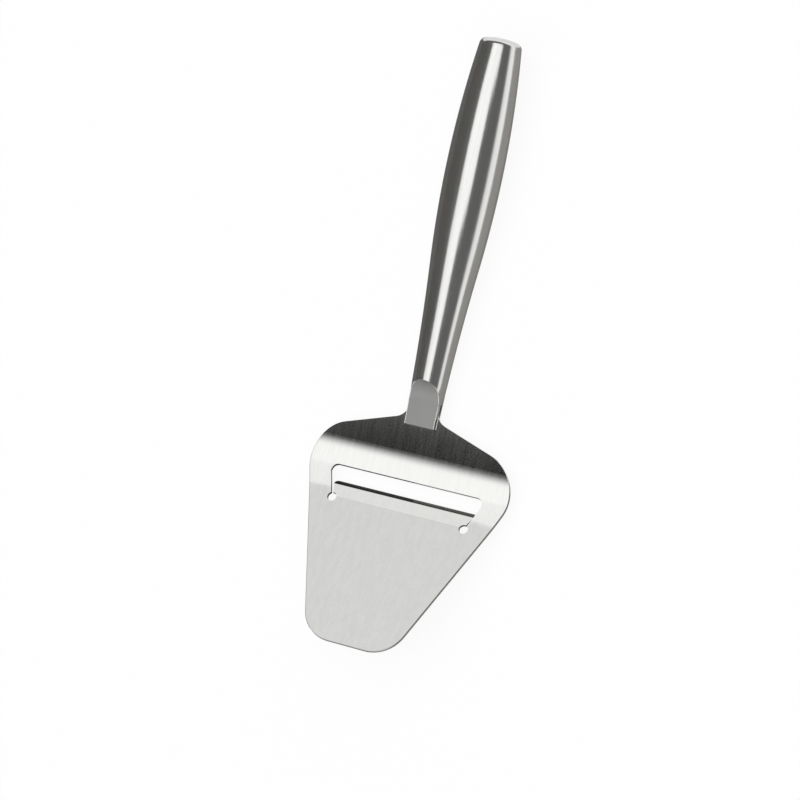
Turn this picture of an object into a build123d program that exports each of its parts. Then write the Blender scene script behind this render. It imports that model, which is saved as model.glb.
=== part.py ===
from build123d import *
import os
from math import asin, atan2, cos, degrees, hypot, pi, radians, sin, sqrt, tan

# Cheese slicer in millimetres. It lies top side up on a table, on its neck and on the belly of its handle.
# +Z is up, +Y runs from the tip of the blade to the butt of the handle, and X is across the blade.
# Every piece is drawn first in the blade's own axes, where the flat of the blade is level: there the middle
# of the sheet is at Z = 0 and the rear edge of the slot at Y = 0.

# Blade: a sheet that tapers to the tip, with a bend at the heel that turns it into line with the handle
sheet_thickness = 1.2
tip_reach = 63.9
tip_corner_share = 0.79
side_reach = 39.4
side_taper = 20.0
shoulder_radius = 14.2
shoulder_reach = 21.25
shoulder_slope = 16.3
root_fillet_radius = 6.0
rim_chamfer = 0.2
bend_start = 12.1
bend_radius = 52.5
handle_angle = 24.5
tang_inset = 0.33

# Slot, relief slits and cutting lip
slot_width = 4.8
side_rim_width = 8.3
slit_width = 0.6
relief_hole_diameter = 3.4
lip_root_reach = 12.1
lip_bend_radius = 4.0
lip_angle = 15.0
lip_bevel_angle = 25.0
lip_edge_land = 0.15
lip_corner_radius = 1.2

# Neck: distances along the handle's axis are reaches from the corner where that axis meets the blade
tongue_reach = 21.2
tongue_length = 6.8
tongue_thickness = 3.6
neck_length = 21.0
scoop_radius = 13.0
saw_slot_depth = 9.0
saw_slot_clearance = 0.02
tang_end_clearance = 0.3
neck_spigot_length = 12.0
weld_leg = 0.6
weld_end_inset = 0.2

# Round outline that the neck and the tube share: a hollow waist, whose narrowest place would lie just ahead
# of the tongue, and a long belly. The swell is where one turns into the other, as a share of the way from
# the belly to the waist.
waist_diameter = 11.9
waist_reach = 10.6
belly_diameter = 20.5
belly_reach = 113.5
swell_share = 0.33

# Handle tube and its end cap
butt_diameter = 15.1
butt_reach = 158.7
tube_wall = 1.0
bore_tapers = 5
butt_rounding = 0.5
spigot_clearance = 0.05
cap_diameter = 13.9
cap_rim_height = 0.5
cap_dome_height = 2.0
cap_spigot_length = 4.0

# Every cutter runs past what it cuts by this much
overrun = 1.0

# Where the handle's axis meets the blade, and the ends of the pieces along that axis
corner_y = bend_radius * tan(radians(handle_angle) / 2) - bend_start
scoop_reach = tongue_reach + tongue_length
joint_reach = tongue_reach + neck_length
tang_end_reach = tongue_reach + saw_slot_depth - tang_end_clearance

# Two tangent arcs, the waist's and the belly's, rise from waist to belly, and a third falls to the butt
waist_to_belly = belly_reach - waist_reach
swell_angle = 2 * atan2(belly_diameter - waist_diameter, 2 * waist_to_belly)
swell_reach = belly_reach - swell_share * waist_to_belly
waist_arc_radius = (swell_reach - waist_reach) / sin(swell_angle)
belly_arc_radius = (belly_reach - swell_reach) / sin(swell_angle)
butt_drop = (belly_diameter - butt_diameter) / 2
butt_arc_radius = ((butt_reach - belly_reach) ** 2 + butt_drop**2) / (2 * butt_drop)
tail_reach = (belly_reach + butt_reach) / 2

# The handle's own axes: Z along its axis, Y to its top side
handle_plane = Plane(
    origin=(0, corner_y, 0),
    x_dir=(-1, 0, 0),
    z_dir=(0, cos(radians(handle_angle)), sin(radians(handle_angle))),
)


def arc_rise(along, radius):
    """How far an arc has left its tangent at a distance along that tangent."""
    return radius - sqrt(radius**2 - along**2)


def outline_radius(reach):
    """Radius of the handle's round outline at a reach along its axis."""
    if reach < swell_reach:
        return waist_diameter / 2 + arc_rise(reach - waist_reach, waist_arc_radius)
    if reach < belly_reach:
        return belly_diameter / 2 - arc_rise(belly_reach - reach, belly_arc_radius)
    return belly_diameter / 2 - arc_rise(reach - belly_reach, butt_arc_radius)


def outline_arcs(start, end):
    """The handle's outline between two reaches, in half section: X is the radius and Y the reach."""
    seams = [start] + [seam for seam in (swell_reach, belly_reach, tail_reach) if start < seam < end] + [end]
    arcs = []
    for near, far in zip(seams, seams[1:]):
        stations = (near, (near + far) / 2, far)
        arcs.append(ThreePointArc(*[(outline_radius(reach), reach) for reach in stations]))
    return arcs


def turned(section):
    """A half section turned into a solid about the handle's axis."""
    return revolve(Plane.XZ * section, Axis.Z)


def tang_width():
    """Width of the tang, which lies a little inside the sides of the neck's tongue."""
    return 2 * (sqrt(outline_radius(tongue_reach) ** 2 - (tongue_thickness / 2) ** 2) - tang_inset)


def side_edge(y, inset=0):
    """Half the blade's width at y, up to a line that lies inset inside the tapering side edge."""
    return side_reach + y * tan(radians(side_taper)) - inset / cos(radians(side_taper))


def bend_point(height, turn):
    """Point of the bend in side view, for a layer of the sheet at a height above its middle."""
    radius = bend_radius - height
    return (-bend_start + radius * sin(turn), bend_radius - radius * cos(turn))


def sheet_layer(height):
    """Side view of one layer of the sheet: level, bent, then straight to the tang's end."""
    turn = radians(handle_angle)
    straight = tang_end_reach - bend_radius * tan(turn / 2)
    bend = ThreePointArc(bend_point(height, 0), bend_point(height, turn / 2), bend_point(height, turn))
    end_y, end_z = bend_point(height, turn)
    level = Line((-tip_reach - overrun, height), bend @ 0)
    tang = Line(bend @ 1, (end_y + straight * cos(turn), end_z + straight * sin(turn)))
    return [level, bend, tang]


def sheet_plan():
    """Plan of the sheet: tip, tapering sides, rounded shoulders and the strip of the tang."""
    slope = tan(radians(shoulder_slope))
    taper = tan(radians(side_taper))
    half_tang = tang_width() / 2
    shoulder_y = (shoulder_reach + slope * (half_tang - side_reach)) / (1 + slope * taper)
    tang_end_y = corner_y + (tang_end_reach + root_fillet_radius) * cos(radians(handle_angle))
    corners = [
        (side_edge(-tip_reach), -tip_reach, tip_corner_share * side_edge(-tip_reach)),
        (side_edge(shoulder_y), shoulder_y, shoulder_radius),
        (half_tang, shoulder_reach, root_fillet_radius),
        (half_tang, tang_end_y, 0),
    ]
    ring = corners + [(-x, y, radius) for x, y, radius in reversed(corners)]
    points = [(x, y) for x, y, radius in ring]
    return make_face(FilletPolyline(*points, radius=[radius for x, y, radius in ring], close=True))


def sheet_blank():
    """The bent sheet with its outline cut and the rim of it broken, before the slot is cut."""
    lower = sheet_layer(-sheet_thickness / 2)
    upper = sheet_layer(sheet_thickness / 2)
    ends = [Line(lower[0] @ 0, upper[0] @ 0), Line(lower[-1] @ 1, upper[-1] @ 1)]
    side_view = Plane.YZ * make_face(lower + upper + ends)
    bent_strip = extrude(side_view, side_edge(shoulder_reach), both=True)
    sheet = bent_strip & extrude(sheet_plan(), tip_reach, both=True)
    rims = ShapeList()
    for wall in sheet.faces():
        if abs(wall.normal_at().Z) < abs(wall.normal_at().X) + abs(wall.normal_at().Y):
            rims += [edge for edge in wall.edges() if edge.length > 2 * sheet_thickness]
    return chamfer(rims, rim_chamfer)


def relief_holes():
    """Plan of the round hole at the end of each relief slit."""
    hole_x = side_edge(-lip_root_reach, side_rim_width + slit_width / 2)
    return [Pos(side * hole_x, -lip_root_reach) * Circle(relief_hole_diameter / 2) for side in (-1, 1)]


def opening_plan():
    """Plan of the cut: the slot with round ends, and down each side a relief slit that ends in a hole."""
    slot_centres = 2 * side_edge(-slot_width / 2, side_rim_width + slot_width / 2)
    slot = Pos(0, -slot_width / 2) * SlotCenterToCenter(slot_centres, slot_width)
    window_points = [
        (side_edge(-lip_root_reach, side_rim_width), -lip_root_reach),
        (side_edge(-slot_width / 2, side_rim_width), -slot_width / 2),
    ]
    window = make_face(Polyline(*window_points, *[(-x, y) for x, y in reversed(window_points)], close=True))
    return slot + window + relief_holes()


def lip_point(height, turn):
    """Point of the lip's bend, in side view from its root, for a layer at a height above its middle."""
    radius = lip_bend_radius + height
    return Vector(radius * sin(turn), radius * cos(turn) - lip_bend_radius)


def cutting_lip():
    """The sheet between the slits: bent down at its root, then straight to an edge bevelled on top."""
    half = sheet_thickness / 2
    turn = radians(lip_angle)
    bevel = tan(radians(lip_bevel_angle))
    along = Vector(cos(turn), -sin(turn))
    across = Vector(sin(turn), cos(turn))
    low_end = lip_point(-half, turn)
    high_end = lip_point(half, turn)
    to_edge = (lip_root_reach - slot_width - low_end.X) / cos(turn)
    keen = low_end + along * (to_edge + lip_edge_land / bevel)
    low_bend = ThreePointArc(lip_point(-half, 0), lip_point(-half, turn / 2), low_end)
    high_bend = ThreePointArc(high_end, lip_point(half, turn / 2), lip_point(half, 0))
    bevel_back = keen - along * (sheet_thickness / bevel) + across * sheet_thickness
    bevelled = Polyline(low_end, keen, bevel_back, high_end)
    root = Polyline(lip_point(half, 0), (-overrun, half), (-overrun, -half), lip_point(-half, 0))
    side_view = Plane.YZ * make_face([low_bend, bevelled, high_bend, root])
    strip = Pos(0, -lip_root_reach, 0) * extrude(side_view, side_reach, both=True)
    inset = side_rim_width + slit_width
    corners = [
        (side_edge(-lip_root_reach - overrun, inset), -lip_root_reach - overrun, 0),
        (side_edge(-slot_width, inset), -slot_width, lip_corner_radius),
    ]
    ring = corners + [(-x, y, radius) for x, y, radius in reversed(corners)]
    points = [(x, y) for x, y, radius in ring]
    plan = make_face(FilletPolyline(*points, radius=[radius for x, y, radius in ring], close=True))
    return strip & extrude(plan - relief_holes(), tip_reach, both=True)


def blade():
    """The sheet with its slot, its slits and its cutting lip."""
    return sheet_blank() - extrude(opening_plan(), tip_reach, both=True) + cutting_lip()


def scoop():
    """Cutter above the tongue: flat along it, then a hollow arc that rises out of the round neck."""
    flat = tongue_thickness / 2
    centre = Vector(flat + scoop_radius, scoop_reach)
    turns = (0, pi / 4, pi / 2)
    hollow = ThreePointArc(*[centre + Vector(-cos(turn), sin(turn)) * scoop_radius for turn in turns])
    front = (flat, tongue_reach - overrun)
    rest = Polyline(hollow @ 1, (centre.X, tongue_reach - overrun), front, hollow @ 0)
    return extrude(Plane.YZ * make_face([hollow, rest]), belly_diameter, both=True)


def neck():
    """Solid turned neck: scooped to a flat tongue, sawn for the tang, with a spigot for the tube."""
    arcs = outline_arcs(tongue_reach, joint_reach)
    axis_side = Polyline(arcs[-1] @ 1, (0, joint_reach), (0, tongue_reach), arcs[0] @ 0)
    body = turned(make_face(arcs + [axis_side])) - scoop() - scoop().mirror(Plane.XZ)
    spigot_radius = outline_radius(joint_reach) - tube_wall - spigot_clearance
    spigot = Cylinder(spigot_radius, neck_spigot_length, align=(Align.CENTER, Align.CENTER, Align.MIN))
    saw_slot = Box(
        belly_diameter,
        sheet_thickness + 2 * saw_slot_clearance,
        saw_slot_depth + overrun,
        align=(Align.CENTER, Align.CENTER, Align.MIN),
    )
    return body + Pos(0, 0, joint_reach) * spigot - Pos(0, 0, tongue_reach - overrun) * saw_slot


def neck_weld():
    """Two weld fillets in the corners between the tongue's end and the sheet."""
    foot = sheet_thickness / 2
    corners = [(foot, tongue_reach), (foot + weld_leg, tongue_reach), (foot, tongue_reach - weld_leg)]
    section = make_face(Polyline(*corners, close=True))
    bead = extrude(Plane.YZ * section, tang_width() / 2 - weld_end_inset, both=True)
    return Compound([bead, bead.mirror(Plane.XZ)])


def handle_tube():
    """Hollow round handle: the bore follows the outline in straight tapers, and the butt is rounded."""
    arcs = outline_arcs(joint_reach, butt_reach)
    taper_length = (butt_reach - joint_reach) / bore_tapers
    stations = [butt_reach - step * taper_length for step in range(bore_tapers + 1)]
    bore = [(outline_radius(reach) - tube_wall, reach) for reach in stations]
    wall = make_face(arcs + [Polyline(arcs[-1] @ 1, *bore, arcs[0] @ 0)])
    butt_corner = wall.vertices().group_by(Axis.Y)[-1].sort_by(Axis.X)[-1]
    return turned(fillet(butt_corner, butt_rounding))


def end_cap():
    """Domed plug in the butt: a spigot in the bore, a disc on the tube's end and a low dome."""
    spigot_radius = butt_diameter / 2 - tube_wall - spigot_clearance
    cap_radius = cap_diameter / 2
    rim_reach = butt_reach + cap_rim_height
    dome_radius = (cap_radius**2 + cap_dome_height**2) / (2 * cap_dome_height)
    top_reach = rim_reach + cap_dome_height
    half_way = top_reach - arc_rise(cap_radius / 2, dome_radius)
    dome = ThreePointArc((cap_radius, rim_reach), (cap_radius / 2, half_way), (0, top_reach))
    body = Polyline(
        dome @ 1,
        (0, butt_reach - cap_spigot_length),
        (spigot_radius, butt_reach - cap_spigot_length),
        (spigot_radius, butt_reach),
        (cap_radius, butt_reach),
        dome @ 0,
    )
    return revolve(Plane.XZ * make_face([dome, body]), Axis.Z)


def heel_reach():
    """Reach at which the scoop comes out of the neck's outline, found in passes that close in on it."""
    reach = scoop_reach
    for closing_in in range(6):
        depth = tongue_thickness / 2 + scoop_radius - outline_radius(reach)
        reach = scoop_reach + sqrt(scoop_radius**2 - depth**2)
    return reach


def table_tilt():
    """Angle that the blade's flat makes with the table when the neck and the belly both touch it."""
    along = belly_reach - heel_reach()
    above = belly_arc_radius - belly_diameter / 2 + outline_radius(heel_reach())
    return handle_angle + degrees(atan2(above, along) - asin(belly_arc_radius / hypot(above, along)))


pieces = {
    "blade": blade(),
    "neck": handle_plane.location * neck(),
    "neck_weld": handle_plane.location * neck_weld(),
    "handle_tube": handle_plane.location * handle_tube(),
    "end_cap": handle_plane.location * end_cap(),
}

# Lay the slicer down and put the origin under the middle of its bounding box
tilted = {name: Rot(-table_tilt(), 0, 0) * piece for name, piece in pieces.items()}
bounds = Compound([solid for piece in tilted.values() for solid in piece.solids()]).bounding_box()
to_table = Pos(0, -bounds.center().Y, -bounds.min.Z)

os.makedirs("parts", exist_ok=True)
for name, piece in tilted.items():
    export_step(to_table * piece, f"parts/{name}.step")
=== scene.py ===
from math import atan2, cos, pi, radians, sin

import bpy
from mathutils import Matrix, Vector


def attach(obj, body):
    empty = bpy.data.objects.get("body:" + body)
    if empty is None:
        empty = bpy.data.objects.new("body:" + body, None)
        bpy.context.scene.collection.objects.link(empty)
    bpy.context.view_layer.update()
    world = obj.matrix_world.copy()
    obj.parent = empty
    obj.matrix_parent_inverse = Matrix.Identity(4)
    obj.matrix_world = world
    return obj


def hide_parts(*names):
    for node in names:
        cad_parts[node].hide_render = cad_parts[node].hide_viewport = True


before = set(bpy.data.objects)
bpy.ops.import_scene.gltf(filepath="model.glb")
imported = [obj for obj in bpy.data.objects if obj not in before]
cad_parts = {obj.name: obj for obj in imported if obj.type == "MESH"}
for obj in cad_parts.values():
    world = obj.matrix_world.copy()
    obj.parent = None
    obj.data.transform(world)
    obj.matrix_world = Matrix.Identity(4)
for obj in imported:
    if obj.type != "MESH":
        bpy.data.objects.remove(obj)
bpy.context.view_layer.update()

# Cheese slicer on a pale floor. Metres; +Z is up, +Y runs from the blade's tip to the handle's butt.
MM = 0.001

# Camera: seen from above and from the right, with the handle up the picture
CAMERA_PLACE = Vector((0.356223, -0.023392, 0.895954))
CAMERA_BACK = Vector((0.380349, -0.001179, 0.924842))
CAMERA_UP = Vector((-0.21039, 0.97367, 0.087766))
CAMERA_LENS = 121.5
CAMERA_CLIP_START = 0.01

# Handle's axis: it starts in the blade and rises towards the butt. The rise is in degrees
AXIS_START = Vector((0.0, -50.8938 * MM, 4.0851 * MM))
AXIS_RISE = 3.4846
AXIS_ALONG = Vector((0, cos(radians(AXIS_RISE)), sin(radians(AXIS_RISE))))
AXIS_ABOVE = Vector((0, -sin(radians(AXIS_RISE)), cos(radians(AXIS_RISE))))
ACROSS = Vector((1, 0, 0))

# Handle's outline, as the solids have it; each reach runs along the axis from its start
OUTLINE = {
    "Joint Reach": 42.2 * MM,
    "Butt Reach": 158.0 * MM,
    "Waist Diameter": 11.9 * MM,
    "Waist Reach": 10.6 * MM,
    "Belly Diameter": 20.5 * MM,
    "Belly Reach": 113.5 * MM,
    "Swell Share": 0.33,
    "Butt Diameter": 15.27 * MM,
    "Wall": 1.0 * MM,
    "Butt Rounding": 0.02 * MM,
}
HANDLE_STEPS = {"Outside Steps": 161, "Rounding Steps": 5, "Bore Steps": 12, "Around": 128}

# Power that draws the steps of the handle's outside together towards the butt
STEPS_CLOSE_UP = 1.6

# Plug in the butt: a low crown, a rounded shoulder, and a spigot inside the tube
CAP_RADIUS = OUTLINE["Butt Diameter"] / 2
CAP_TOP_REACH = 161.17 * MM
CAP_CROWN = 0.6 * MM
CAP_CROWN_STEPS = 10
CAP_ROUNDING = 2.6 * MM
CAP_ROUNDING_STEPS = 18
CAP_SPIGOT_RADIUS = 6.5 * MM
CAP_SPIGOT_LENGTH = 4.0 * MM
CAP_AROUND = 96

# Turned pieces are shaded smooth up to this angle between faces, in degrees
SHARP_ANGLE = 35.0


# ---------------------------------------------------------------- node helpers
# A Mix node has its colour sockets after those for numbers and vectors
MIX_COLOUR_INPUTS = (6, 7)
MIX_COLOUR_OUTPUT = 2


def put(tree, kind, inputs=None, **settings):
    """A node with its settings, and with its inputs set or linked."""
    node = tree.nodes.new(kind)
    for name, value in settings.items():
        setattr(node, name, value)
    for key, value in (inputs or {}).items():
        join(tree, value, node.inputs[key])
    return node


def join(tree, value, socket):
    """Links a socket or a node's first output to an input, or sets the input's own value."""
    if isinstance(value, bpy.types.Node):
        value = value.outputs[0]
    if isinstance(value, bpy.types.NodeSocket):
        tree.links.new(value, socket)
    else:
        socket.default_value = value


def calc(tree, operation, *values, clamp=False):
    """A Math node's result."""
    node = put(tree, "ShaderNodeMath", dict(enumerate(values)), operation=operation, use_clamp=clamp)
    return node.outputs[0]


def dot(tree, first, second):
    """The dot product of two vectors."""
    node = put(tree, "ShaderNodeVectorMath", {0: first, 1: second}, operation="DOT_PRODUCT")
    return node.outputs["Value"]


def switch(tree, test, first, second):
    """The first value where the test is 0, the second where it is 1."""
    inputs = {"Switch": test, "False": first, "True": second}
    return put(tree, "GeometryNodeSwitch", inputs, input_type="FLOAT").outputs[0]


def noise(tree, scale, detail=2.0, roughness=0.5):
    """Noise in the piece's own coordinates, scaled apart along each axis."""
    place = put(tree, "ShaderNodeTexCoord").outputs["Object"]
    scaled = put(tree, "ShaderNodeMapping", {"Vector": place, "Scale": scale})
    inputs = {"Vector": scaled, "Scale": 1.0, "Detail": detail, "Roughness": roughness}
    return put(tree, "ShaderNodeTexNoise", inputs).outputs["Fac"]


def ramp(tree, value, low, high, to_low, to_high):
    """A value's smooth climb or fall from one level to another, between a low and a high limit."""
    inputs = {"Value": value, "From Min": low, "From Max": high, "To Min": to_low, "To Max": to_high}
    return put(tree, "ShaderNodeMapRange", inputs, interpolation_type="SMOOTHSTEP").outputs[0]


def blend_colour(tree, share, first, second):
    """The first colour where the share is 0, the second where it is 1."""
    node = put(tree, "ShaderNodeMix", data_type="RGBA")
    join(tree, share, node.inputs["Factor"])
    for key, colour in zip(MIX_COLOUR_INPUTS, (first, second)):
        join(tree, colour, node.inputs[key])
    return node.outputs[MIX_COLOUR_OUTPUT]


def material(name, metallic=0.0):
    """A new material, its tree, and the shader that gives its surface."""
    made = bpy.data.materials.new(name)
    made.use_nodes = True
    tree = made.node_tree
    tree.nodes.clear()
    shader = put(tree, "ShaderNodeBsdfPrincipled", {"Metallic": metallic})
    put(tree, "ShaderNodeOutputMaterial", {"Surface": shader})
    return made, tree, shader


# ---------------------------------------------------------------- finishes
STEEL = (0.66, 0.66, 0.645)
GROUND_STEEL = (0.41, 0.41, 0.40, 1)

# Brushed finishes: scale of the lines, depth of their relief, and roughness where clean and where smeared
HANDLE_BRUSH = ((2600, 40, 2600), 0.001 * MM, (0.12, 0.16))
BLADE_BRUSH = ((2400, 14, 2400), 0.0004 * MM, (0.035, 0.05))

# Streaks: fine lines and broad ones, whose scale is a share of the fine ones'
FINE_SHARE = 0.55
COARSE_SHARE = 0.45
COARSE_SCALE = 0.22
STREAK_LIMITS = (0.35, 0.65)
STREAK_TONE = 0.03
STREAK_ROUGHNESS = 0.10

# Hair scratches: only the peaks of a noise whose scale across is a multiple of the fine lines'
SCRATCH_ACROSS = 1.3
SCRATCH_ALONG = 28
SCRATCH_PEAKS = (0.70, 0.78)
SCRATCH_DEPTH = 0.5
SCRATCH_ROUGHNESS = 0.06

SMEAR_SCALE = (60, 9, 60)
SMEAR_LIMITS = (0.35, 0.7)

# Neck: how far inside its round outline the steel counts as ground, and how much rougher it is there
GROUND_DEPTHS = (0.18 * MM, 0.30 * MM)
GROUND_ROUGHNESS = 0.27

WELD_STRAW = (0.36, 0.31, 0.24, 1)
WELD_SLATE = (0.22, 0.23, 0.26, 1)
WELD_TINT_SCALE = (900, 900, 900)
WELD_GRAIN_SCALE = (4000, 4000, 4000)
WELD_GRAIN_LIMITS = (0.3, 0.7)
WELD_GRAIN_DEPTH = 0.02 * MM
WELD_ROUGHNESS = (0.35, 0.55)


def toned(change):
    """The steel's colour, lighter or darker by a share."""
    return tuple(channel * (1 + change) for channel in STEEL) + (1,)


def brushed_steel(name, lines, depth, polish):
    """Satin steel: fine lines along the piece, faint broad streaks, hair scratches and a few dull smears."""
    made, tree, shader = material(name, metallic=1.0)
    fine = noise(tree, lines, detail=3.0, roughness=0.65)
    coarse = noise(tree, tuple(axis * COARSE_SCALE for axis in lines))
    smear = noise(tree, SMEAR_SCALE)
    scratch_scale = (lines[0] * SCRATCH_ACROSS, SCRATCH_ALONG, lines[2] * SCRATCH_ACROSS)
    scratch = ramp(tree, noise(tree, scratch_scale, detail=1.0), *SCRATCH_PEAKS, 0.0, 1.0)

    fine_part = calc(tree, "MULTIPLY", fine, FINE_SHARE)
    coarse_part = calc(tree, "MULTIPLY", coarse, COARSE_SHARE)
    streak = calc(tree, "ADD", fine_part, coarse_part)
    tone = ramp(tree, streak, *STREAK_LIMITS, 0.0, 1.0)
    join(tree, blend_colour(tree, tone, toned(-STREAK_TONE), toned(STREAK_TONE)), shader.inputs["Base Color"])

    dulled = ramp(tree, smear, *SMEAR_LIMITS, *polish)
    lined = calc(tree, "MULTIPLY_ADD", streak, STREAK_ROUGHNESS, dulled)
    rough = calc(tree, "MULTIPLY_ADD", scratch, SCRATCH_ROUGHNESS, lined, clamp=True)
    join(tree, rough, shader.inputs["Roughness"])

    height = calc(tree, "SUBTRACT", streak, calc(tree, "MULTIPLY", scratch, SCRATCH_DEPTH))
    bump = put(tree, "ShaderNodeBump", {"Height": height, "Distance": depth, "Strength": 1.0})
    join(tree, bump, shader.inputs["Normal"])
    return made, tree, shader


def waist_arc():
    """Radius of the arc that leads from the waist towards the belly, as outline_radius works it out."""
    span = OUTLINE["Belly Reach"] - OUTLINE["Waist Reach"]
    climb = (OUTLINE["Belly Diameter"] - OUTLINE["Waist Diameter"]) / 2
    return span * (1 - OUTLINE["Swell Share"]) / sin(2 * atan2(climb, span))


def neck_steel_finish():
    """Satin outside like the handle; duller where the two scoops are ground inside the round outline."""
    made, tree, shader = brushed_steel("neck_steel_ground", *HANDLE_BRUSH)
    place = put(tree, "ShaderNodeTexCoord").outputs["Object"]
    from_start = put(tree, "ShaderNodeVectorMath", {0: place, 1: AXIS_START}, operation="SUBTRACT").outputs[0]
    reach = dot(tree, from_start, AXIS_ALONG)
    height = dot(tree, from_start, AXIS_ABOVE)
    side = put(tree, "ShaderNodeSeparateXYZ", {0: from_start}).outputs["X"]
    squares = calc(tree, "ADD", calc(tree, "POWER", side, 2.0), calc(tree, "POWER", height, 2.0))
    past_waist = calc(tree, "SUBTRACT", reach, OUTLINE["Waist Reach"])
    rise = calc(tree, "DIVIDE", calc(tree, "POWER", past_waist, 2.0), 2 * waist_arc())
    outside = calc(tree, "ADD", rise, OUTLINE["Waist Diameter"] / 2)
    depth = calc(tree, "SUBTRACT", outside, calc(tree, "SQRT", squares))
    ground = ramp(tree, depth, *GROUND_DEPTHS, 0.0, 1.0)

    bare = shader.inputs["Base Color"].links[0].from_socket
    join(tree, blend_colour(tree, ground, bare, GROUND_STEEL), shader.inputs["Base Color"])
    satin = shader.inputs["Roughness"].links[0].from_socket
    join(tree, calc(tree, "MULTIPLY_ADD", ground, GROUND_ROUGHNESS, satin), shader.inputs["Roughness"])
    return made


def weld_steel_finish():
    """Ground weld: dull and finely grained, a little straw and blue from the heat."""
    made, tree, shader = material("weld_steel_heat_tinted", metallic=1.0)
    tint = noise(tree, WELD_TINT_SCALE)
    grain = noise(tree, WELD_GRAIN_SCALE, detail=3.0)
    join(tree, blend_colour(tree, tint, WELD_SLATE, WELD_STRAW), shader.inputs["Base Color"])
    join(tree, ramp(tree, grain, *WELD_GRAIN_LIMITS, *WELD_ROUGHNESS), shader.inputs["Roughness"])
    bump = put(tree, "ShaderNodeBump", {"Height": grain, "Distance": WELD_GRAIN_DEPTH})
    join(tree, bump, shader.inputs["Normal"])
    return made


blade_steel = brushed_steel("blade_steel_brushed", *BLADE_BRUSH)[0]
handle_steel = brushed_steel("handle_steel_satin", *HANDLE_BRUSH)[0]
neck_steel = neck_steel_finish()
weld_steel = weld_steel_finish()


# ---------------------------------------------------------------- pieces
def add_piece(name, mesh, slot_name, *nodes):
    """Shades a mesh smooth and rides it on the root in place of CAD nodes."""
    for polygon in mesh.polygons:
        polygon.use_smooth = True
    mesh.set_sharp_from_angle(angle=radians(SHARP_ANGLE))
    piece = bpy.data.objects.new(name, mesh)
    bpy.context.scene.collection.objects.link(piece)
    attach(piece, "root")
    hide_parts(*nodes)


def geometry_tree(name, sizes, counts):
    """A Geometry Nodes tree with named inputs; gives the tree and a socket for each input."""
    tree = bpy.data.node_groups.new(name, "GeometryNodeTree")
    tree.interface.new_socket("Geometry", in_out="OUTPUT", socket_type="NodeSocketGeometry")
    for label in sizes:
        tree.interface.new_socket(label, in_out="INPUT", socket_type="NodeSocketFloat")
    for label in counts:
        tree.interface.new_socket(label, in_out="INPUT", socket_type="NodeSocketInt")
    tree.interface.new_socket("Finish", in_out="INPUT", socket_type="NodeSocketMaterial")
    source = tree.nodes.new("NodeGroupInput")
    return tree, {socket.name: socket for socket in source.outputs if socket.name}


def grown_mesh(name, tree, values):
    """What a tree makes with these values, as a plain mesh."""
    seed = bpy.data.objects.new(name + "_grown", bpy.data.meshes.new(name + "_seed"))
    bpy.context.scene.collection.objects.link(seed)
    modifier = seed.modifiers.new("Grow", "NODES")
    modifier.node_group = tree
    for item in tree.interface.items_tree:
        if item.in_out == "INPUT":
            modifier[item.identifier] = values[item.name]
    bpy.context.view_layer.update()
    graph = bpy.context.evaluated_depsgraph_get()
    mesh = bpy.data.meshes.new_from_object(seed.evaluated_get(graph))
    bpy.data.objects.remove(seed)
    return mesh


def arc_rise(tree, along, radius):
    """How far an arc has left its tangent at a distance along that tangent."""
    under = calc(tree, "SUBTRACT", calc(tree, "POWER", radius, 2.0), calc(tree, "POWER", along, 2.0))
    return calc(tree, "SUBTRACT", radius, calc(tree, "SQRT", calc(tree, "MAXIMUM", under, 0.0)))


def outline_radius(tree, reach, size):
    """Radius of the waist's, the belly's and the butt's tangent arcs at a reach along the axis."""
    half_waist = calc(tree, "DIVIDE", size["Waist Diameter"], 2.0)
    half_belly = calc(tree, "DIVIDE", size["Belly Diameter"], 2.0)
    half_butt = calc(tree, "DIVIDE", size["Butt Diameter"], 2.0)
    waist_side = calc(tree, "SUBTRACT", reach, size["Waist Reach"])
    belly_side = calc(tree, "SUBTRACT", reach, size["Belly Reach"])

    # The waist's arc and the belly's arc meet at a common tangent, the swell's share before the belly
    span = calc(tree, "SUBTRACT", size["Belly Reach"], size["Waist Reach"])
    climb = calc(tree, "SUBTRACT", half_belly, half_waist)
    sine = calc(tree, "SINE", calc(tree, "MULTIPLY", calc(tree, "ARCTAN2", climb, span), 2.0))
    swell_span = calc(tree, "MULTIPLY", span, size["Swell Share"])
    swell_reach = calc(tree, "SUBTRACT", size["Belly Reach"], swell_span)
    belly_radius = calc(tree, "DIVIDE", swell_span, sine)
    waist_radius = calc(tree, "DIVIDE", calc(tree, "SUBTRACT", swell_reach, size["Waist Reach"]), sine)

    # The butt's arc leaves the belly's widest place and ends at the butt's own radius
    tail = calc(tree, "SUBTRACT", size["Butt Reach"], size["Belly Reach"])
    drop = calc(tree, "SUBTRACT", half_belly, half_butt)
    squares = calc(tree, "ADD", calc(tree, "POWER", tail, 2.0), calc(tree, "POWER", drop, 2.0))
    butt_radius = calc(tree, "DIVIDE", squares, calc(tree, "MULTIPLY", drop, 2.0))

    waist_part = calc(tree, "ADD", half_waist, arc_rise(tree, waist_side, waist_radius))
    belly_part = calc(tree, "SUBTRACT", half_belly, arc_rise(tree, belly_side, belly_radius))
    butt_part = calc(tree, "SUBTRACT", half_belly, arc_rise(tree, belly_side, butt_radius))
    past_swell = calc(tree, "GREATER_THAN", reach, swell_reach)
    past_belly = calc(tree, "GREATER_THAN", reach, size["Belly Reach"])
    return switch(tree, past_belly, switch(tree, past_swell, waist_part, belly_part), butt_part)


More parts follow.
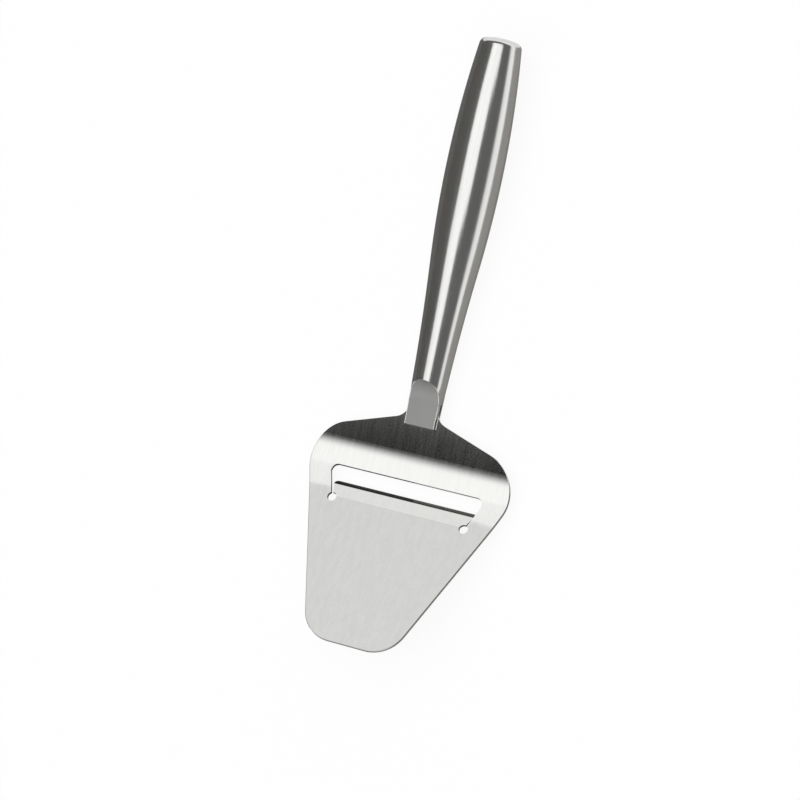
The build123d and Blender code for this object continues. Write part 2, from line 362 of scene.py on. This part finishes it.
def wall_section(tree, size):
    """Reach and radius of each point of the tube's wall: outside, rounded edge at the butt, and bore."""
    butt = size["Butt Reach"]
    joint = size["Joint Reach"]
    edge = size["Butt Rounding"]
    index = put(tree, "GeometryNodeInputIndex")
    past_outside = calc(tree, "SUBTRACT", index, size["Outside Steps"])
    past_rounding = calc(tree, "SUBTRACT", past_outside, size["Rounding Steps"])

    # Outside, from the joint to where the edge's rounding starts
    edge_reach = calc(tree, "SUBTRACT", butt, edge)
    done = calc(tree, "DIVIDE", index, calc(tree, "SUBTRACT", size["Outside Steps"], 1.0))
    left_over = calc(tree, "SUBTRACT", 1.0, done, clamp=True)
    share = calc(tree, "SUBTRACT", 1.0, calc(tree, "POWER", left_over, STEPS_CLOSE_UP))
    skin_reach = calc(tree, "MULTIPLY_ADD", calc(tree, "SUBTRACT", edge_reach, joint), share, joint)
    skin_radius = outline_radius(tree, skin_reach, size)

    # Rounded edge, a quarter turn
    turned = calc(tree, "DIVIDE", calc(tree, "ADD", past_outside, 1.0), size["Rounding Steps"])
    corner = calc(tree, "MULTIPLY", turned, pi / 2)
    core_radius = calc(tree, "SUBTRACT", calc(tree, "DIVIDE", size["Butt Diameter"], 2.0), edge)
    round_reach = calc(tree, "MULTIPLY_ADD", calc(tree, "SINE", corner), edge, edge_reach)
    round_radius = calc(tree, "MULTIPLY_ADD", calc(tree, "COSINE", corner), edge, core_radius)

    # Bore, back from the butt to the joint
    back = calc(tree, "DIVIDE", past_rounding, calc(tree, "SUBTRACT", size["Bore Steps"], 1.0), clamp=True)
    bore_length = calc(tree, "SUBTRACT", butt, joint)
    bore_reach = calc(tree, "SUBTRACT", butt, calc(tree, "MULTIPLY", bore_length, back))
    bore_radius = calc(tree, "SUBTRACT", outline_radius(tree, bore_reach, size), size["Wall"])

    # The index is a whole number, so half a step below 0 tells 0 from -1 safely
    in_rounding = calc(tree, "GREATER_THAN", past_outside, -0.5)
    in_bore = calc(tree, "GREATER_THAN", past_rounding, -0.5)
    reach = switch(tree, in_bore, switch(tree, in_rounding, skin_reach, round_reach), bore_reach)
    radius = switch(tree, in_bore, switch(tree, in_rounding, skin_radius, round_radius), bore_radius)
    return reach, radius


def handle_tree():
    """The tube's wall section, turned about the handle's axis."""
    tree, size = geometry_tree("turned_handle", OUTLINE, HANDLE_STEPS)
    reach, radius = wall_section(tree, size)
    outer_steps = calc(tree, "ADD", size["Outside Steps"], size["Rounding Steps"])
    steps = calc(tree, "ADD", outer_steps, size["Bore Steps"])
    line = put(tree, "GeometryNodeCurvePrimitiveLine")
    stations = put(tree, "GeometryNodeResampleCurve", {"Curve": line, "Count": steps})

    # The section is swept along a circle, so its radii are measured from that circle
    ring = calc(tree, "DIVIDE", size["Belly Diameter"], 4.0)
    place = put(tree, "ShaderNodeCombineXYZ", {"X": calc(tree, "SUBTRACT", radius, ring), "Y": reach})
    section = put(tree, "GeometryNodeSetPosition", {"Geometry": stations, "Position": place})
    closed = put(tree, "GeometryNodeSetSplineCyclic", {"Geometry": section, "Cyclic": True})
    circle = put(tree, "GeometryNodeCurvePrimitiveCircle", {"Resolution": size["Around"], "Radius": ring})
    turned = put(tree, "GeometryNodeCurveToMesh", {"Curve": circle, "Profile Curve": closed})

    onto_axis = {"Geometry": turned, "Translation": AXIS_START, "Rotation": (radians(AXIS_RISE + 90), 0, 0)}
    laid = put(tree, "GeometryNodeTransform", onto_axis)
    real = put(tree, "GeometryNodeRealizeInstances", {"Geometry": laid})
    finished = put(tree, "GeometryNodeSetMaterial", {"Geometry": real, "Material": size["Finish"]})
    put(tree, "NodeGroupOutput", {"Geometry": finished})
    return tree


def cap_profile():
    """Radius and reach of each ring of the butt's plug, from the middle of its crown to the spigot's end."""
    flat = CAP_RADIUS - CAP_ROUNDING
    shoulder = CAP_TOP_REACH - CAP_CROWN - CAP_ROUNDING
    rings = []
    for step in range(1, CAP_CROWN_STEPS + 1):
        out = step / CAP_CROWN_STEPS
        rings.append((flat * out, CAP_TOP_REACH - CAP_CROWN * out * out))
    for step in range(1, CAP_ROUNDING_STEPS + 1):
        turn = pi / 2 * step / CAP_ROUNDING_STEPS
        rings.append((flat + CAP_ROUNDING * sin(turn), shoulder + CAP_ROUNDING * cos(turn)))
    seat = OUTLINE["Butt Reach"]
    rings += [(CAP_RADIUS, seat), (CAP_SPIGOT_RADIUS, seat), (CAP_SPIGOT_RADIUS, seat - CAP_SPIGOT_LENGTH)]
    return rings


def turned_mesh(name, top_reach, rings, around, finish):
    """Solid turned about the handle's axis, closed in the middle at its top and at its last ring."""
    points = [AXIS_START + AXIS_ALONG * reach for reach in (top_reach, rings[-1][1])]
    for radius, reach in rings:
        for step in range(around):
            turn = 2 * pi * step / around
            outwards = ACROSS * sin(turn) + AXIS_ABOVE * cos(turn)
            points.append(AXIS_START + AXIS_ALONG * reach + outwards * radius)
    faces = []
    for step in range(around):
        here = 2 + step
        there = 2 + (step + 1) % around
        faces.append((0, here, there))
        for ring in range(len(rings) - 1):
            down = ring * around
            faces.append((here + down, here + down + around, there + down + around, there + down))
        last = (len(rings) - 1) * around
        faces.append((here + last, 1, there + last))
    mesh = bpy.data.meshes.new(name)
    mesh.from_pydata([tuple(point) for point in points], [], faces)
    mesh.materials.append(finish)
    return mesh


handle_values = {**OUTLINE, **HANDLE_STEPS, "Finish": handle_steel}
handle_mesh = grown_mesh("handle_tube_turned", handle_tree(), handle_values)
add_piece("handle_tube_turned", handle_mesh, "handle_steel", "handle_tube")

cap_mesh = turned_mesh("end_cap_turned", CAP_TOP_REACH, cap_profile(), CAP_AROUND, handle_steel)
add_piece("end_cap_turned", cap_mesh, "handle_steel", "end_cap")

for node_name, node_finish in (("blade", blade_steel), ("neck", neck_steel), ("neck_weld", weld_steel)):
    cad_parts[node_name].data.materials[0] = node_finish


# ---------------------------------------------------------------- floor and cards
FLOOR_HALF = 40.0
FLOOR_COLOUR = (0.88, 0.88, 0.87, 1)
FLOOR_ROUGHNESS = 0.9
FLOOR_OWN_LIGHT = 0.92

# Matt cards for the dark flanks of the handle: mats on the floor, with corners as x and y, which are painted
# shade of the floor beside and under the handle that only the steel shows, and an upright flag, with corners
# as y and z
DARK_GREY = 0.14
SHADED_FLOOR_GREY = 0.35
CARD_TINT = (1.0, 0.97, 0.93)
MAT_HEIGHT = 0.1 * MM
LEFT_SHADE_MAT = ((-0.31, -0.24), (0.0, -0.16), (0.0, 0.111), (-0.31, 0.24))
RIGHT_SHADE_MAT = ((0.0, -0.16), (0.055, -0.18), (0.055, 0.13), (0.0, 0.111))
LEFT_FLAG_X = -0.30
LEFT_FLAG = ((-0.24, 0), (0.24, 0), (0.24, 0.35), (-0.24, 0.35))


def floor_finish():
    """Pale matt surface that camera, glossy and transmission rays see mostly as plain white."""
    made, tree, shader = material("pale_floor")
    shader.inputs["Base Color"].default_value = FLOOR_COLOUR
    shader.inputs["Roughness"].default_value = FLOOR_ROUGHNESS
    rays = put(tree, "ShaderNodeLightPath").outputs
    seen = calc(tree, "MAXIMUM", rays["Is Camera Ray"], rays["Is Glossy Ray"])
    seen = calc(tree, "MAXIMUM", seen, rays["Is Transmission Ray"])
    white = put(tree, "ShaderNodeEmission", {"Color": (1, 1, 1, 1), "Strength": 1.0})
    own_light = calc(tree, "MULTIPLY", seen, FLOOR_OWN_LIGHT)
    mixed = put(tree, "ShaderNodeMixShader", {0: own_light, 1: shader, 2: white})
    join(tree, mixed, tree.nodes["Material Output"].inputs["Surface"])
    return made


def flat_card(name, corners, finish):
    """One flat face of the stage."""
    mesh = bpy.data.meshes.new(name)
    mesh.from_pydata(corners, [], [tuple(range(len(corners)))])
    mesh.materials.append(finish)
    card = bpy.data.objects.new(name, mesh)
    bpy.context.scene.collection.objects.link(card)
    return card


def flag(name, corners, grey):
    """Matt card that only shows in the steel, as the dark flags do beside polished metal in a studio; laid on
    the floor as a mat, it is painted shade of the floor around the handle.
    """
    made, _, shader = material(name + "_matt")
    shader.inputs["Base Color"].default_value = tuple(grey * tint for tint in CARD_TINT) + (1,)
    shader.inputs["Roughness"].default_value = 1.0
    card = flat_card(name, corners, made)
    card.visible_camera = False
    card.visible_diffuse = False
    card.visible_shadow = False


floor_corners = [(x * FLOOR_HALF, y * FLOOR_HALF, 0) for x, y in ((-1, -1), (1, -1), (1, 1), (-1, 1))]
flat_card("floor", floor_corners, floor_finish())
# The two mats are painted shade: grey sheets standing in for the shaded floor around the handle, seen only in
# its steel
flag("left_mat", [(x, y, MAT_HEIGHT) for x, y in LEFT_SHADE_MAT], DARK_GREY)
flag("right_mat", [(x, y, MAT_HEIGHT) for x, y in RIGHT_SHADE_MAT], SHADED_FLOOR_GREY)
flag("left_flag", [(LEFT_FLAG_X, y, z) for y, z in LEFT_FLAG], DARK_GREY)


# ---------------------------------------------------------------- lamps
# The blade has boxes of its own: its dark heel and the handle's bright top can't come from the same ones
HANDLE_PIECES = ("neck", "neck_weld", "handle_tube_turned", "end_cap_turned")
NECK_PIECE = ("neck",)
BLADE_PIECE = ("blade",)
LAMP_HEIGHT = 1.05
FULL_GLOW = 1.25

# Name, left, right, front and rear edge, height, brightness of the face, and the pieces that it lights, or
# nothing where it lights them all
TOP_BOXES = (
    ("overhead_front_box", -0.49, 0.29, -0.42, -0.10, LAMP_HEIGHT, FULL_GLOW, HANDLE_PIECES),
    ("overhead_box", -0.44, 0.48, -0.10, 0.30, LAMP_HEIGHT, FULL_GLOW, HANDLE_PIECES),
    ("overhead_rear_box", -0.38, 0.70, 0.30, 0.62, LAMP_HEIGHT, FULL_GLOW, HANDLE_PIECES),
    ("scoop_box", -0.75, 0.15, -1.9, -0.50, LAMP_HEIGHT, 0.6, NECK_PIECE),
)
FLOOR_BOX = ("right_floor_box", 0.056, 1.6, -0.6, 0.8, 1 * MM, 0.22, HANDLE_PIECES)
HEEL_LEFT = -0.60
HEEL_RIGHT = 0.50
HEEL_FRONT = -0.175
HEEL_REAR = -0.02
HEEL_STEPS = 8
HEEL_LEAST_SHARE = 0.01
BLADE_BOXES = (
    ("left_box", -0.62, 0.50, HEEL_REAR, 0.22, LAMP_HEIGHT, FULL_GLOW, BLADE_PIECE),
    ("rear_left_box", -0.72, 0.60, 0.22, 0.60, LAMP_HEIGHT, 1.12, BLADE_PIECE),
    ("rear_box", -0.90, 0.80, 0.60, 1.70, LAMP_HEIGHT, 0.82, BLADE_PIECE),
)
FILL_BOX = ("fill_box", -1.2, 1.2, -1.2, 1.2, 2.0, 2.5)


def lamp(name, left, right, front, rear, height, glow, pieces=()):
    """Level soft box that faces down, with a given brightness of its face; it can light some pieces only."""
    data = bpy.data.lights.new(name, "AREA")
    data.shape = "RECTANGLE"
    data.size = right - left
    data.size_y = rear - front
    data.energy = glow * pi * data.size * data.size_y
    holder = bpy.data.objects.new(name, data)
    bpy.context.scene.collection.objects.link(holder)
    holder.location = ((left + right) / 2, (front + rear) / 2, height)
    if pieces:
        group = bpy.data.collections.new(name + "_pieces")
        for piece_name in pieces:
            group.objects.link(bpy.data.objects[piece_name])
        holder.light_linking.receiver_collection = group
    return holder


def heel_boxes():
    """Narrow boxes over the heel, one behind the other, that get smoothly brighter towards the rear."""
    edges = [HEEL_FRONT + (HEEL_REAR - HEEL_FRONT) * step / HEEL_STEPS for step in range(HEEL_STEPS + 1)]
    for step in range(HEEL_STEPS):
        share = (step + 0.5) / HEEL_STEPS
        climb = share * share * (3 - 2 * share)
        glow = FULL_GLOW * (HEEL_LEAST_SHARE + (1 - HEEL_LEAST_SHARE) * climb)
        name = "heel_box_" + str(step + 1)
        lamp(name, HEEL_LEFT, HEEL_RIGHT, edges[step], edges[step + 1], LAMP_HEIGHT, glow, BLADE_PIECE)


def soft_boxes():
    """All lamps of the studio."""
    for box in TOP_BOXES:
        lamp(*box)
    floor_box = lamp(*FLOOR_BOX)
    floor_box.rotation_euler = (pi, 0, 0)
    floor_box.visible_camera = False
    heel_boxes()
    for box in BLADE_BOXES:
        lamp(*box)
    fill_box = lamp(*FILL_BOX)
    fill_box.visible_glossy = False


soft_boxes()


# ---------------------------------------------------------------- world
# Brightness at the horizon, above it to the front, above it elsewhere, and in one dark corner
HORIZON_GLOW = 1.1
FRONT_GLOW = 0.55
ROOM_GLOW = 0.15
CORNER_GLOW = 0.02
DARK_CORNER = Vector((-0.29, -0.16, 0.93)).normalized()
CORNER_ANGLES = (11, 4)

# Limits on a direction's parts: up for the horizon's height, along Y for the front and the rear
HORIZON_HEIGHTS = (0.10, 0.24)
FRONT_LIMITS = (-0.6, -0.33)
REAR_LIMITS = (0.5, 0.85)
REAR_HORIZON_LIFT = 0.35


def room():
    """World: pale at the horizon and dark above, as a room beyond the soft boxes."""
    world = bpy.data.worlds.new("studio_room")
    bpy.context.scene.world = world
    world.use_nodes = True
    tree = world.node_tree
    tree.nodes.clear()
    direction = put(tree, "ShaderNodeTexCoord").outputs["Generated"]
    axes = put(tree, "ShaderNodeSeparateXYZ", {0: direction}).outputs
    lift = ramp(tree, axes["Y"], *REAR_LIMITS, 0.0, REAR_HORIZON_LIFT)
    height = calc(tree, "SUBTRACT", axes["Z"], lift)
    above = ramp(tree, axes["Y"], *FRONT_LIMITS, FRONT_GLOW, ROOM_GLOW)
    corner_limits = [cos(radians(angle)) for angle in CORNER_ANGLES]
    dark = ramp(tree, dot(tree, direction, DARK_CORNER), *corner_limits, above, CORNER_GLOW)
    strength = ramp(tree, height, *HORIZON_HEIGHTS, HORIZON_GLOW, dark)
    background = put(tree, "ShaderNodeBackground", {"Color": (1, 1, 1, 1), "Strength": strength})
    put(tree, "ShaderNodeOutputWorld", {"Surface": background})


room()


# ---------------------------------------------------------------- camera
camera_data = bpy.data.cameras.new("camera")
camera_data.lens = CAMERA_LENS
camera_data.clip_start = CAMERA_CLIP_START
camera = bpy.data.objects.new("camera", camera_data)
bpy.context.scene.collection.objects.link(camera)
camera_back = CAMERA_BACK.normalized()
camera_right = CAMERA_UP.cross(camera_back).normalized()
camera_turn = Matrix((camera_right, camera_back.cross(camera_right), camera_back)).transposed()
camera.matrix_world = Matrix.Translation(CAMERA_PLACE) @ camera_turn.to_4x4()
bpy.context.scene.camera = camera
bpy.context.scene.view_settings.view_transform = "Standard"
